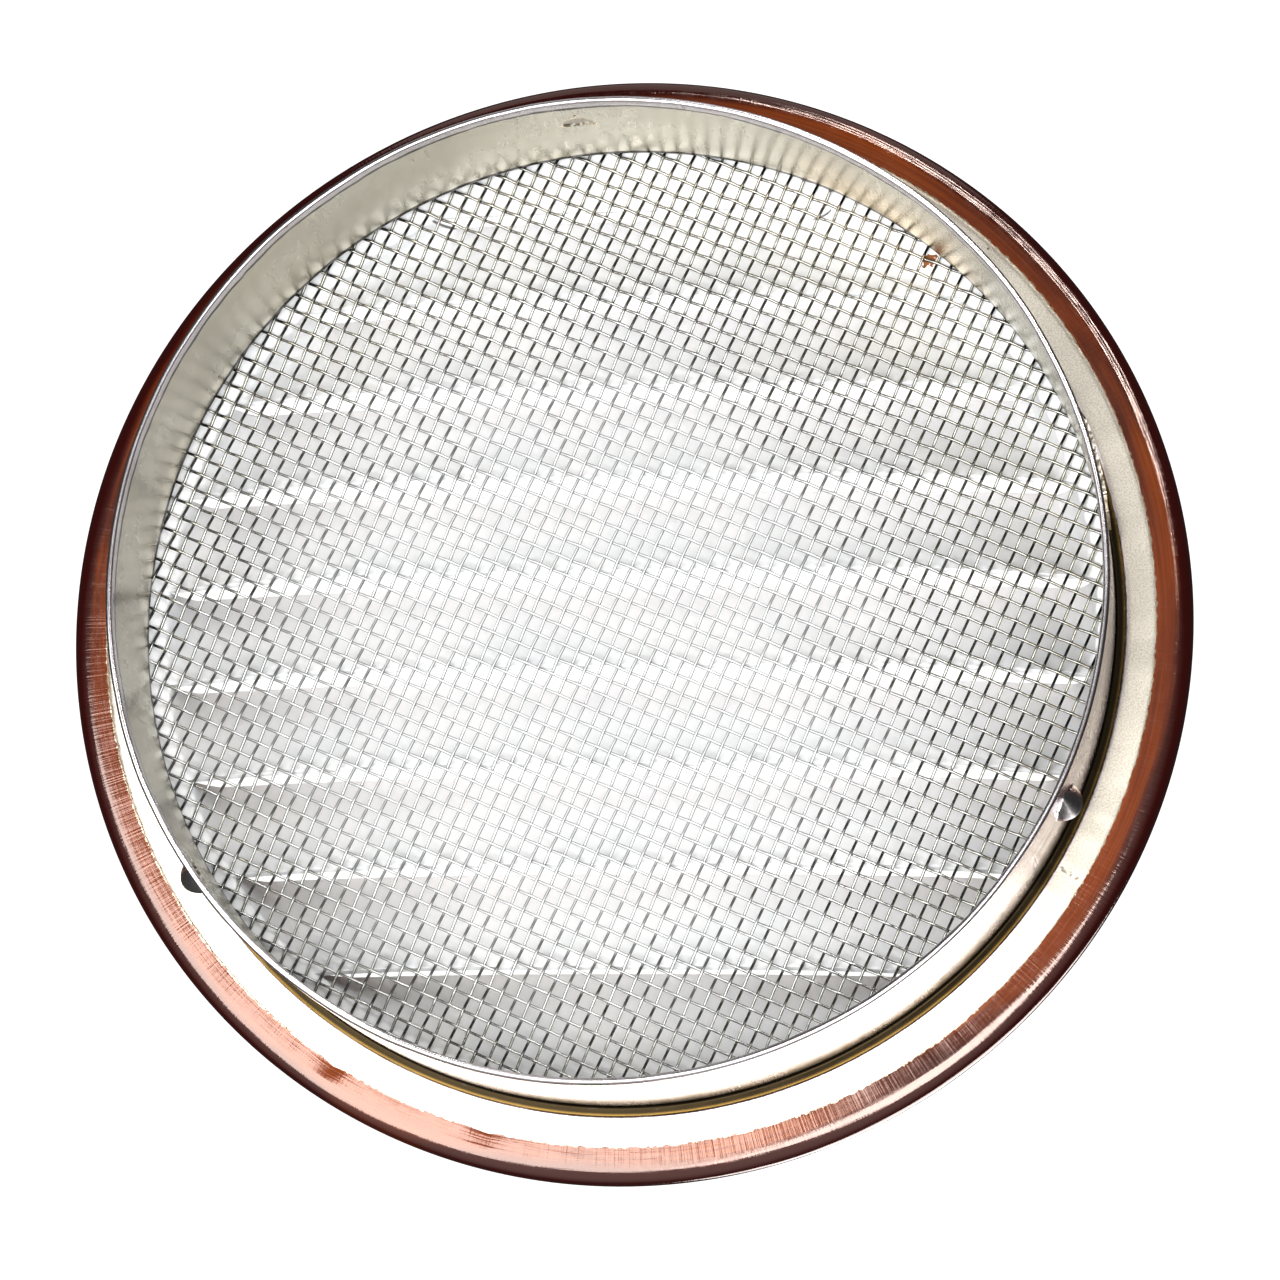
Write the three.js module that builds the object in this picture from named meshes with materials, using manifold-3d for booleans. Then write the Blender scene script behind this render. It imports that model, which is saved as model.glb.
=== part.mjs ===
// Round louvred vent: a pressed sheet disc with a rolled rim, an insect screen and a push-in collar.
// Millimetres, +Z up. The collar's axis is Y: the louvred front faces -Y and the collar points to +Y.
// The origin is on the axis, in the plane where the rolled rim meets the wall. The openings face down.
import * as THREE from 'three';
import * as BufferGeometryUtils from 'three/addons/utils/BufferGeometryUtils.js';
import Module from 'manifold-3d';

const wasm = await Module();
wasm.setup();

// ---------------------------------------------------------------- driving dimensions
const SHEET = 0.5; // louvre disc's sheet
const STACK_GAP = 0.1; // play between the clamped pieces

// louvre disc
const FIELD_RADIUS = 46; // circle on which every slit ends
const SLIT_COUNT = 9;
const SLIT_PITCH = 9.525; // 3/8 inch
const LOWEST_SLIT_Z = -41.3;
const LIP_DEPTH = 4.8; // how far the longest slats' lips stand forward
const EDGE_BOW = 1.5; // how far a slat's upper edge is drawn down at mid-length
const LIP_BOW_SHARE = 0.7; // the lip is drawn down less
const END_RAMP = 2.4; // length over which a slat's end rises out of the disc
const EDGE_FLATNESS = 3.6; // power of the upper edge's bow: higher is flatter at mid-length
const LIP_FLATNESS = 2.5;
const COLUMNS = 20; // facets along a slat
const ROWS = 3; // facets across a slat
const END_CROWDING = 1.7; // power that draws the columns towards a slat's ends

// rolled rim, as (radius, y) of the sheet's outer skin
const RIM_RADIUS = 55;
const RIM_MID_Y = -2.2;
const RIM_FRONT_Y = -4.3;
const RIM_TOP_RADIUS = 52.4; // where the rim's round begins, behind and in front
const HEM_EDGE_RADIUS = 51.4; // the turned-over edge
const FACE_RADIUS = 49.4; // the flat face ends here
const RIM_STEPS = 4; // facets in each quarter of the rim

// clamped stack behind the disc
const FLANGE_SHEET = 0.45;
const FLANGE_RADIUS = 52.3;
const FLANGE_BACK_Y = -SHEET - STACK_GAP;
const SCREEN_THICKNESS = 0.5;
const SCREEN_RADIUS = 52;
const SCREEN_BACK_Y = FLANGE_BACK_Y - FLANGE_SHEET - STACK_GAP;
const DISC_BACK_Y = SCREEN_BACK_Y - SCREEN_THICKNESS - STACK_GAP;
const DISC_MID_Y = DISC_BACK_Y - SHEET / 2;

// collar
const COLLAR_BASE_RADIUS = 47.33; // middle of the wall, at the flange
const COLLAR_REAR_RADIUS = 46.45; // middle of the wall, at the rear bead
const COLLAR_BEAD_Y = 16.6;
const BEAD_RADIUS = 0.45;
const BEND_RADIUS = 1.3; // middle of the sheet, between wall and flange
const BEND_STEPS = 4; // facets in the bend between wall and flange
const BEAD_STEPS = 7;
const BEAD_CLOSING_ANGLE = Math.PI / 6; // the bead's round ends this far below its widest points
const ROUND_SEGMENTS = 72; // facets round the collar and the screen

// lap seam, angles from +X towards +Z
const SEAM_ANGLE = THREE.MathUtils.degToRad(-8.8);
const LAP_ANGLE = THREE.MathUtils.degToRad(9);
const LAP_THICKNESS = 0.4;
const LAP_LOW_Y = 1.5; // the lap starts above the bend

// lanced barbs
const BARB_ANGLES = [-94.5, 25.5, 145.5].map(THREE.MathUtils.degToRad);
const BARB_SLIT_Y = 9.3;
const BARB_LENGTH = 4.2;
const BARB_HALF_WIDTH = 2.0;
const BARB_HEIGHT = 1.7;
const BARB_FACETS = 20;
const MOUTH_OVERCUT = 0.2; // the hollow starts this far outside the mouth, so that the mouth is open

const WELD_DISTANCE = 1e-5; // points closer than this are one point in a solid
const NORMAL_STEP_X = 0.05; // small steps on a slat, for its normals
const NORMAL_STEP_S = 0.02;

const paint = new THREE.MeshStandardMaterial({ color: 0x5a2204, roughness: 0.28, metalness: 0.1 });
const bareAluminium = new THREE.MeshStandardMaterial({ color: 0xc4c0b4, roughness: 0.38, metalness: 1 });
const screenWire = new THREE.MeshStandardMaterial({ color: 0x8d8f8c, roughness: 0.42, metalness: 1 });

// ---------------------------------------------------------------- sheet builder
// Middle surface of a sheet: points with unit normals, and triangles that run anticlockwise seen from behind.
class Sheet {
  constructor() {
    this.points = [];
    this.normals = [];
    this.triangles = [];
  }

  add(point, normal) {
    this.points.push(point);
    this.normals.push(normal);
    return this.points.length - 1;
  }

  // Fills the band between two rows of points. A row may share its end points with the other row.
  band(rowA, rowB) {
    for (let i = 0; i + 1 < rowA.length; i += 1) {
      this.triangle(rowA[i], rowA[i + 1], rowB[i + 1]);
      this.triangle(rowA[i], rowB[i + 1], rowB[i]);
    }
  }

  triangle(a, b, c) {
    if (a !== b && b !== c && c !== a) this.triangles.push([a, b, c]);
  }

  // Thickens the sheet to a closed solid.
  solid(thickness) {
    const count = this.points.length;
    const vertices = [];
    for (const side of [0.5, -0.5]) {
      this.points.forEach((point, i) => {
        const moved = point.clone().addScaledVector(this.normals[i], side * thickness);
        vertices.push(moved.x, moved.y, moved.z);
      });
    }
    const edges = new Map();
    const index = [];
    for (const [a, b, c] of this.triangles) {
      index.push(a, b, c, a + count, c + count, b + count);
      for (const [from, to] of [[a, b], [b, c], [c, a]]) {
        const back = `${to} ${from}`;
        if (edges.has(back)) edges.delete(back);
        else edges.set(`${from} ${to}`, [from, to]);
      }
    }
    for (const [from, to] of edges.values()) {
      index.push(from, from + count, to + count, from, to + count, to);
    }
    const geometry = new THREE.BufferGeometry();
    geometry.setAttribute('position', new THREE.Float32BufferAttribute(vertices, 3));
    geometry.setIndex(index);
    return geometry;
  }
}

// ---------------------------------------------------------------- louvre disc
const halfLength = (z) => Math.sqrt(FIELD_RADIUS ** 2 - z ** 2);
const slitZ = (k) => LOWEST_SLIT_Z + k * SLIT_PITCH;

// How far the two edges of the slit at height z are drawn down, at u = x / half length.
function edgeDrop(z, u) {
  return EDGE_BOW * (halfLength(z) / FIELD_RADIUS) ** 2 * (1 - Math.abs(u) ** EDGE_FLATNESS);
}

function lipDrop(z, u) {
  return LIP_BOW_SHARE * EDGE_BOW * (halfLength(z) / FIELD_RADIUS) ** 2 * (1 - Math.abs(u) ** LIP_FLATNESS);
}

// Middle of the slat above slit k: s runs from its lip (0) to its upper edge (1), x along it.
function slatPoint(k, s, x, z) {
  const reach = halfLength(z) - Math.abs(x);
  const ramp = reach >= END_RAMP ? 1 : 1 - (1 - reach / END_RAMP) ** 2;
  const depth = LIP_DEPTH * Math.sqrt(halfLength(slitZ(k)) / FIELD_RADIUS);
  const u = Math.min(1, Math.abs(x) / halfLength(z));
  const upperDrop = k + 1 < SLIT_COUNT ? edgeDrop(slitZ(k + 1), u) : 0;
  const drop = lipDrop(slitZ(k), u) * (1 - s) + upperDrop * s;
  return new THREE.Vector3(x, DISC_MID_Y - depth * ramp * Math.cos((s * Math.PI) / 2), z - drop);
}

// Columns are closer together near the ends, where the slat rises.
function columnShare(i) {
  const t = (2 * i) / COLUMNS - 1;
  return Math.sign(t) * (1 - (1 - Math.abs(t)) ** END_CROWDING);
}

function louvreDisc() {
  const sheet = new Sheet();
  const flat = new THREE.Vector3(0, 1, 0);
  const rimPoints = []; // points on the field circle, each with its angle
  const onCircle = (x, z) => {
    const id = sheet.add(new THREE.Vector3(x, DISC_MID_Y, z), flat);
    rimPoints.push({ id, angle: Math.atan2(z, x) });
    return id;
  };
  const tips = [];
  for (let k = 0; k < SLIT_COUNT; k += 1) {
    const z = slitZ(k);
    tips.push([onCircle(-halfLength(z), z), onCircle(halfLength(z), z)]);
  }
  // Rows of one slat, or of the flat part below the lowest slit, between two end points each.
  const slatNormal = (k, s, x, z) => {
    const along = slatPoint(k, s, x + NORMAL_STEP_X, z).sub(slatPoint(k, s, x - NORMAL_STEP_X, z));
    const ds = s < 0.5 ? NORMAL_STEP_S : -NORMAL_STEP_S;
    const across = slatPoint(k, s + ds, x, z + ds * SLIT_PITCH).sub(slatPoint(k, s, x, z));
    const normal = across.cross(along).normalize();
    return normal.y < 0 ? normal.negate() : normal;
  };
  const slatRow = (k, s, z, ends) => {
    const row = [ends[0]];
    for (let i = 1; i < COLUMNS; i += 1) {
      const x = columnShare(i) * halfLength(z);
      row.push(sheet.add(slatPoint(k, s, x, z), slatNormal(k, s, x, z)));
    }
    row.push(ends[1]);
    return row;
  };
  // A row on the field circle, above or below the outermost slit.
  const arcRow = (ends, sign) => {
    const row = [ends[0]];
    const from = Math.asin(halfLength(sign > 0 ? slitZ(SLIT_COUNT - 1) : slitZ(0)) / FIELD_RADIUS);
    for (let i = 1; i < COLUMNS; i += 1) {
      const angle = columnShare(i) * from;
      row.push(onCircle(FIELD_RADIUS * Math.sin(angle), sign * FIELD_RADIUS * Math.cos(angle)));
    }
    row.push(ends[1]);
    return row;
  };
  // A row of the top slat, s of the way from its lip to the arc above it.
  const rowBelowArc = (k, s, lip, arc) => {
    const row = [lip[0]];
    for (let i = 1; i < COLUMNS; i += 1) {
      const end = sheet.points[arc[i]];
      const x = THREE.MathUtils.lerp(columnShare(i) * halfLength(slitZ(k)), end.x, s);
      const z = THREE.MathUtils.lerp(slitZ(k), end.z, s);
      row.push(sheet.add(slatPoint(k, s, x, z), slatNormal(k, s, x, z)));
    }
    row.push(lip[COLUMNS]);
    return row;
  };

  for (let k = 0; k + 1 < SLIT_COUNT; k += 1) {
    let lower = slatRow(k, 0, slitZ(k), tips[k]);
    for (let r = 1; r <= ROWS; r += 1) {
      const z = slitZ(k) + (r / ROWS) * SLIT_PITCH;
      const ends = r < ROWS ? [onCircle(-halfLength(z), z), onCircle(halfLength(z), z)] : tips[k + 1];
      const upper = slatRow(k, r / ROWS, z, ends);
      sheet.band(upper, lower);
      lower = upper;
    }
  }
  // The top slat runs into the field circle, and so does the flat part below the lowest slit.
  const top = SLIT_COUNT - 1;
  const topArc = arcRow(tips[top], 1);
  let lower = slatRow(top, 0, slitZ(top), tips[top]);
  for (let r = 1; r < ROWS; r += 1) {
    const upper = rowBelowArc(top, r / ROWS, lower, topArc);
    sheet.band(upper, lower);
    lower = upper;
  }
  sheet.band(topArc, lower);
  const bottomEdge = [tips[0][0]];
  for (let i = 1; i < COLUMNS; i += 1) {
    const u = columnShare(i);
    const z = slitZ(0) - edgeDrop(slitZ(0), u);
    bottomEdge.push(sheet.add(new THREE.Vector3(u * halfLength(slitZ(0)), DISC_MID_Y, z), flat));
  }
  bottomEdge.push(tips[0][1]);
  sheet.band(bottomEdge, arcRow(tips[0], -1));

  // Flat face and rolled rim: every ring has the field circle's angles.
  rimPoints.sort((a, b) => b.angle - a.angle);
  let inner = rimPoints.map((point) => point.id);
  inner.push(inner[0]);
  for (const { radius, y, normal } of rimSection()) {
    const ring = rimPoints.map(({ angle }) => sheet.add(
      new THREE.Vector3(radius * Math.cos(angle), y, radius * Math.sin(angle)),
      new THREE.Vector3(normal.x * Math.cos(angle), normal.y, normal.x * Math.sin(angle)),
    ));
    ring.push(ring[0]);
    sheet.band(ring, inner);
    inner = ring;
  }
  return sheet.solid(SHEET);
}

// Middle line of the face and the rim, outwards from the field circle, forward, round and back.
// Each normal points into the rim, which is the side that faces the wall on the flat face.
function rimSection() {
  const half = SHEET / 2;
  const section = [{ radius: FACE_RADIUS, y: DISC_MID_Y, normal: new THREE.Vector2(0, 1) }];
  const quarter = (centreY, semiY, from, to) => {
    for (let i = 0; i <= RIM_STEPS; i += 1) {
      const angle = THREE.MathUtils.lerp(from, to, i / RIM_STEPS);
      const outward = new THREE.Vector2(
        Math.cos(angle) / (RIM_RADIUS - half - RIM_TOP_RADIUS),
        Math.sin(angle) / semiY,
      ).normalize();
      section.push({
        radius: RIM_TOP_RADIUS + (RIM_RADIUS - half - RIM_TOP_RADIUS) * Math.cos(angle),
        y: centreY + semiY * Math.sin(angle),
        normal: outward.negate(),
      });
    }
  };
  quarter(RIM_MID_Y, RIM_MID_Y - RIM_FRONT_Y - half, -Math.PI / 2, 0);
  section.pop();
  quarter(RIM_MID_Y, -RIM_MID_Y - half, 0, Math.PI / 2);
  section.push({ radius: HEM_EDGE_RADIUS, y: -half, normal: new THREE.Vector2(0, -1) });
  return section;
}

// ---------------------------------------------------------------- solids for cutting and joining
function toSolid(geometry) {
  const bare = geometry.clone();
  bare.deleteAttribute('normal');
  bare.deleteAttribute('uv');
  const merged = BufferGeometryUtils.mergeVertices(bare, WELD_DISTANCE);
  return new wasm.Manifold(new wasm.Mesh({
    numProp: 3,
    vertProperties: new Float32Array(merged.attributes.position.array),
    triVerts: new Uint32Array(merged.index.array),
  }));
}

function toGeometry(solid) {
  const mesh = solid.getMesh();
  const geometry = new THREE.BufferGeometry();
  geometry.setAttribute('position', new THREE.BufferAttribute(mesh.vertProperties, 3));
  geometry.setIndex(new THREE.BufferAttribute(mesh.triVerts, 1));
  return geometry;
}

// Turns a closed outline of (radius, y) points about the collar's axis.
function turned(outline) {
  const closed = [...outline, outline[0].clone()];
  return new THREE.LatheGeometry(closed, ROUND_SEGMENTS);
}

// ---------------------------------------------------------------- collar
const wallRadius = (y) => THREE.MathUtils.mapLinear(
  y,
  FLANGE_BACK_Y,
  COLLAR_BEAD_Y,
  COLLAR_BASE_RADIUS,
  COLLAR_REAR_RADIUS,
);

function collarOutline() {
  const half = FLANGE_SHEET / 2;
  const flangeMidY = FLANGE_BACK_Y - half;
  const bendY = flangeMidY + BEND_RADIUS;
  const bendCentre = new THREE.Vector2(wallRadius(bendY) + BEND_RADIUS, bendY);
  const arc = (centre, radius, from, to, steps) => {
    const points = [];
    for (let i = 0; i <= steps; i += 1) {
      const angle = THREE.MathUtils.lerp(from, to, i / steps);
      const spoke = new THREE.Vector2(radius * Math.cos(angle), radius * Math.sin(angle));
      points.push(spoke.add(centre));
    }
    return points;
  };
  const beadCentre = new THREE.Vector2(wallRadius(COLLAR_BEAD_Y), COLLAR_BEAD_Y);
  return [
    new THREE.Vector2(FLANGE_RADIUS, flangeMidY - half),
    new THREE.Vector2(FLANGE_RADIUS, flangeMidY + half),
    ...arc(bendCentre, BEND_RADIUS - half, -Math.PI / 2, -Math.PI, BEND_STEPS),
    ...arc(beadCentre, BEAD_RADIUS, -BEAD_CLOSING_ANGLE, Math.PI + BEAD_CLOSING_ANGLE, BEAD_STEPS),
    ...arc(bendCentre, BEND_RADIUS + half, -Math.PI, -Math.PI / 2, BEND_STEPS),
  ];
}

// The strip's outer end, lapped over its inner end.
function lapSeam() {
  const outside = FLANGE_SHEET / 2 + LAP_THICKNESS;
  const topY = COLLAR_BEAD_Y - BEAD_RADIUS;
  const ring = turned([
    new THREE.Vector2(wallRadius(LAP_LOW_Y), LAP_LOW_Y),
    new THREE.Vector2(wallRadius(LAP_LOW_Y) + outside, LAP_LOW_Y),
    new THREE.Vector2(wallRadius(topY) + outside, topY),
    new THREE.Vector2(wallRadius(topY), topY),
  ]);
  // A wedge from the axis out past the collar, which keeps only the lap's part of the ring.
  const wedge = new THREE.Shape();
  wedge.moveTo(0, 0);
  for (const angle of [SEAM_ANGLE, SEAM_ANGLE - LAP_ANGLE]) {
    wedge.lineTo(RIM_RADIUS * Math.cos(angle), -RIM_RADIUS * Math.sin(angle));
  }
  wedge.closePath();
  const sector = new THREE.ExtrudeGeometry(wedge, { depth: COLLAR_BEAD_Y, bevelEnabled: false });
  sector.rotateX(-Math.PI / 2);
  return toSolid(ring).intersect(toSolid(sector));
}

// Half cone that stands out of the wall: its mouth faces the flange, its point runs out towards the rear.
function barbCone(angle, halfWidth, height, length, mouthY) {
  const cone = new THREE.ConeGeometry(1, length, BARB_FACETS);
  cone.scale(height, 1, halfWidth);
  cone.translate(wallRadius(mouthY), mouthY + length / 2, 0);
  cone.rotateY(-angle);
  return toSolid(cone);
}

function collar() {
  let body = toSolid(turned(collarOutline())).add(lapSeam());
  for (const angle of BARB_ANGLES) {
    body = body.add(barbCone(angle, BARB_HALF_WIDTH, BARB_HEIGHT, BARB_LENGTH, BARB_SLIT_Y));
  }
  for (const angle of BARB_ANGLES) {
    const hollow = barbCone(
      angle,
      BARB_HALF_WIDTH - FLANGE_SHEET,
      BARB_HEIGHT - FLANGE_SHEET,
      BARB_LENGTH - 2 * FLANGE_SHEET,
      BARB_SLIT_Y - MOUTH_OVERCUT,
    );
    body = body.subtract(hollow);
  }
  return toGeometry(body);
}

// ---------------------------------------------------------------- insect screen
function insectScreen() {
  const screen = new THREE.CylinderGeometry(SCREEN_RADIUS, SCREEN_RADIUS, SCREEN_THICKNESS, ROUND_SEGMENTS);
  screen.translate(0, SCREEN_BACK_Y - SCREEN_THICKNESS / 2, 0);
  return screen;
}

// ---------------------------------------------------------------- assembly
const group = new THREE.Group();
const pieces = [
  ['louvre_disc', louvreDisc(), paint],
  ['insect_screen', insectScreen(), screenWire],
  ['collar', collar(), bareAluminium],
];
for (const [name, geometry, material] of pieces) {
  geometry.computeVertexNormals();
  const mesh = new THREE.Mesh(geometry, material);
  mesh.name = name;
  group.add(mesh);
}

export default group;
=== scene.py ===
import math
import random

import bmesh
import bpy
import numpy as np
from mathutils import Matrix, Vector, noise


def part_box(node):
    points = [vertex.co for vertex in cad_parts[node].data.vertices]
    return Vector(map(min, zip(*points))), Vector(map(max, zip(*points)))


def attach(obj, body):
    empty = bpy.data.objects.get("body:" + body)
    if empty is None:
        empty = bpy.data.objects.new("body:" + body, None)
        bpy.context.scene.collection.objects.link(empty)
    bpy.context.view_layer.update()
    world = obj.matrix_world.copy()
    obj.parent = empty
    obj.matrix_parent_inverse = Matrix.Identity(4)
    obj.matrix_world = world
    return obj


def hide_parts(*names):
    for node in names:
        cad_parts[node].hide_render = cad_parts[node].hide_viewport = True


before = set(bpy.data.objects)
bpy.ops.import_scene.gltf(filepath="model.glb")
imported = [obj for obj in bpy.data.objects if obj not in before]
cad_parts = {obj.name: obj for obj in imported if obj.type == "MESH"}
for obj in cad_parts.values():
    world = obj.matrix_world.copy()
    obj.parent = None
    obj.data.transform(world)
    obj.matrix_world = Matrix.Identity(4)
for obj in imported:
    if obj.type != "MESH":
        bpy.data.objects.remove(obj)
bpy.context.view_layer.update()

# X runs across the vent, Y from the louvred face towards the collar's rear end, and Z up.
MM = 0.001
random.seed(11)

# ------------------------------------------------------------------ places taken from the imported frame
DISC_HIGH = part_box("louvre_disc")[1] / MM
SCREEN_LOW, SCREEN_HIGH = (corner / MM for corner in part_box("insect_screen"))
COLLAR_LOW, COLLAR_HIGH = (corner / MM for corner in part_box("collar"))
RIM_RADIUS = DISC_HIGH.x
SCREEN_RADIUS = SCREEN_HIGH.x
FLANGE_RADIUS = COLLAR_HIGH.x
SCREEN_Y = (SCREEN_LOW.y + SCREEN_HIGH.y) / 2
FLANGE_FRONT_Y = COLLAR_LOW.y
COLLAR_TOP_Y = COLLAR_HIGH.y

# ------------------------------------------------------------------ louvre disc, millimetres
SHEET = 0.5
CLOTH_GAP = 0.1  # between the sheet and the cloth behind it
DISC_MID_Y = SCREEN_LOW.y - CLOTH_GAP - SHEET / 2
FIELD_RADIUS = 46.0
SLIT_COUNT = 9
SLIT_PITCH = 9.525
LOWEST_SLIT_Z = -41.3
LIP_DEPTH = 4.8
EDGE_BOW = 1.5
LIP_BOW_SHARE = 0.7
END_RAMP = 2.4
EDGE_FLATNESS = 3.6
LIP_FLATNESS = 2.5
SLAT_RIPPLE = 0.05
RIPPLES_PER_MM = 0.08
RIPPLES_PER_SLAT = 1.5  # from a slat's lip to its upper edge
RIPPLE_SHIFT = 7.3  # from one slat to the next, so that no two are alike
END_CROWDING = 1.7  # above 1, the columns of points are closer together at the slats' ends
COLUMNS = 104
ROWS = 14

RIM_MID_Y = -2.2
RIM_FRONT_Y = -4.3
RIM_TOP_RADIUS = 52.4
HEM_EDGE_RADIUS = 51.4
FACE_RADIUS = 49.4
RIM_STEPS = 14
RIM_SQUARENESS = 2.6  # exponent of the rim's rear quarter, 2 is an ellipse
HEM_ROWS = 5  # rows of points at the end of the section over which the hem becomes uneven
HEM_JAG = ((0.07, 55), (0.05, 140))  # height and frequency of each noise
HEM_WAVE = ((0.05, 9), (0.035, 24))
HEM_FORWARD = 0.02
HEM_DENTS = ((104, 0.55), (122, 0.7))  # angle in degrees, depth
DENT_WIDTH = 1.3
DENT_OUT = 0.45  # how far a dent pushes the hem's edge out, as a share of its depth
DENT_IN = 0.25  # how far it pushes the hem forward

# ------------------------------------------------------------------ collar, millimetres
STRIP = 0.32
BASE_SKIN_RADIUS = 47.55  # outer skin of the wall at the flange
REAR_SKIN_RADIUS = 46.88
WALL_WAVE = ((0.07, 5), (0.02, 16))
WALL_WAVE_DRIFT = 0.03  # change of the wave from row to row, per millimetre
WALL_WAVE_FADE = (1.5, 6.0)
REAR_SWAY = (0.06, 6)  # unevenness of the rear edge's height
REAR_SWAY_FADE = (8, 16)
WALL_STEP = 0.5
WALL_START = 0.35  # wall's first and last rows, measured from the bend and the fold
WALL_END = 0.3
COLLAR_COLUMNS = 400

FLANGE_LIFT = 0.06  # flange's front skin behind its CAD face
FLANGE_STEPS = 8
FLANGE_ZONE = 1.2  # height of the flange and its bend
FLANGE_BUCKLE = (0.035, 22)
BEND_RADIUS = 0.45
BEND_STEPS = 6
GROOVE_RADIUS = 48.66  # where the flange dips towards the wall
GROOVE_DEPTH = 0.16
GROOVE_LIP = 0.12  # where its slope starts, outside GROOVE_RADIUS
GROOVE_SLOPE = ((0.02, 0.85), (-0.1, 0.15), (-0.25, 0.0))  # step from GROOVE_RADIUS, share of the depth left

FOLD_WIDTH = 0.74  # folded rear edge of the collar, both layers and the gap
FOLD_DEPTH = 1.3
FOLD_STEPS = 10
FOLD_LEAN = 0.10  # how far the inner layer leans towards the wall at its cut edge
FOLD_RAGS = ((0.35, 7), (0.22, 38), (0.12, 120))
FOLD_RAG_FADE = (0.6, 1.9)  # from the collar's rear edge
FOLD_PRESS = 0.22  # how far the inner layer is pressed towards the wall where it is tightest
FOLD_PRESS_NOISE = (0.5, 1.3)
FOLD_WRINKLE = (0.06, 17)
FOLD_INSET = (0.1, 0.55)  # distance inside the wall over which a point becomes part of the inner layer

SEAM_ANGLE = math.radians(-8.8)
LAP_ANGLE = math.radians(9)
LAP_END_ANGLE = SEAM_ANGLE - LAP_ANGLE
LAP_REACH = 1.04  # the lapped end's length as a share of LAP_ANGLE
LAP_COLUMNS = 26
LAP_ROWS = 30
LAP_FROM_Y = 1.2
LAP_TO_Y = 15.9
LAP_RAMP = 0.9  # degrees over which the outer end climbs over the inner one
LAP_GAP = 0.02
LAP_STEP = 1.02 * STRIP  # how far the outer end lies over the inner one
JOGGLE = 0.3  # radial step of the wall next to the lap
JOGGLE_RAMP = (0.1, 2.2)  # degrees past the lap's end
JOGGLE_START = (1.0, 2.0)
JOGGLE_END = (15.0, 15.9)
SEAM_COLUMNS = (-0.5, -0.15, 0, 0.15, 0.5)  # degrees from the seam's two lines

BARB_ANGLES = [math.radians(a) for a in (-94.5, 25.5, 145.5)]
BARB_Y = 9.3
BARB_LENGTH = 3.4
BARB_HALF_WIDTH = 1.8
BARB_HEIGHT = 1.7
BARB_TAPER = 1.25
BARB_ROUNDNESS = 0.75
BARB_STEP = 0.2
BARB_MARGIN = 0.3
BARB_COLUMNS = 14
BARB_COLUMN_REACH = 1.15
MOUTH_LEAST = 0.02  # a mouth narrower than this stays closed
NEAR = 0.01  # a row this close to the wall's middle is part of the wall

# Painted shade on the collar: dark in the groove, a little on the barbs and in the gap under the fold.
GROOVE_SHADE_FADE = (GROOVE_RADIUS - 0.12, GROOVE_RADIUS + 0.05)
FLANGE_SHADE_FADE = (-0.2, 0.4)
BARB_SHADE = 0.22
BARB_SHADE_FADE = (0.0, 0.12)  # share of the barb's height
FOLD_SHADE = 0.9
FOLD_SHADE_FADE = (0.7, 1.6)  # from the collar's rear edge

# ------------------------------------------------------------------ insect cloth, millimetres
INCH = 25.4
WIRE_RADIUS = 0.14
CLOSE_PITCH = INCH / 18
WIDE_PITCH = INCH / 16
CLOTH_ANGLE = math.radians(23.4)
CLOTH_MARGIN = 0.4  # wires end this far inside the cloth's edge
WIRE_SIDES = 6
WIRE_STEPS = 4  # between two crossings
WIRE_BEND = 0.05
WIRE_SHIFT = 0.03


# ------------------------------------------------------------------ sheet metal
class Sheet:
    """Middle surface of a sheet, thickened by build()."""

    def __init__(self):
        self.points = []
        self.painted_shade = []
        self.faces = []

    def add(self, x, y, z, painted_shade=0.0):
        self.points.append((x, y, z))
        self.painted_shade.append(painted_shade)
        return len(self.points) - 1

    def band(self, row_a, row_b):
        """Fills between two rows of points, which may share points."""
        for i in range(len(row_a) - 1):
            ring = [row_a[i], row_a[i + 1], row_b[i + 1], row_b[i]]
            face = [p for k, p in enumerate(ring) if p != ring[k - 1]]
            if len(face) > 2:
                self.faces.append(face)

    def build(self, name, thickness, ahead, behind, edge):
        """Makes a closed piece. Its materials are the side that the faces look to, the other side and the
        cut edges."""
        middle = np.array(self.points)
        normals = np.zeros_like(middle)
        for face in self.faces:
            diagonal_a = middle[face[2]] - middle[face[0]]
            diagonal_b = middle[face[3 % len(face)]] - middle[face[1]]
            normals[face] += np.cross(diagonal_a, diagonal_b)
        normals /= np.linalg.norm(normals, axis=1)[:, None]
        count = len(middle)
        vertices = np.vstack([middle + normals * thickness / 2, middle - normals * thickness / 2]) * MM
        borders = {}
        for face in self.faces:
            for k, start in enumerate(face):
                end = face[(k + 1) % len(face)]
                if (end, start) in borders:
                    del borders[end, start]
                else:
                    borders[start, end] = True
        faces = [list(face) for face in self.faces]
        faces += [[p + count for p in reversed(face)] for face in self.faces]
        faces += [[start, start + count, end + count, end] for start, end in borders]
        mesh = bpy.data.meshes.new(name)
        mesh.from_pydata(vertices.tolist(), [], faces)
        for material in (ahead, behind, edge):
            mesh.materials.append(material)
        skin = len(self.faces)
        mesh.polygons.foreach_set("material_index", [0] * skin + [1] * skin + [2] * len(borders))
        # Per-point painted shade, read by the collar's materials.
        mesh.attributes.new("painted_shade", "FLOAT", "POINT").data.foreach_set("value", self.painted_shade * 2)
        finish_mesh(mesh, skin * 2)
        return link(name, mesh)


def finish_mesh(mesh, first_edge_face=None):
    """Smooth shading, with a sharp line where a cut edge meets a skin."""
    shape = bmesh.new()
    shape.from_mesh(mesh)
    for face in shape.faces:
        face.smooth = True
    if first_edge_face is not None:
        for edge in shape.edges:
            on_cut = [face.index >= first_edge_face for face in edge.link_faces]
            edge.smooth = all(on_cut) or not any(on_cut)
    shape.to_mesh(mesh)
    shape.free()
    mesh.update()


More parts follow.
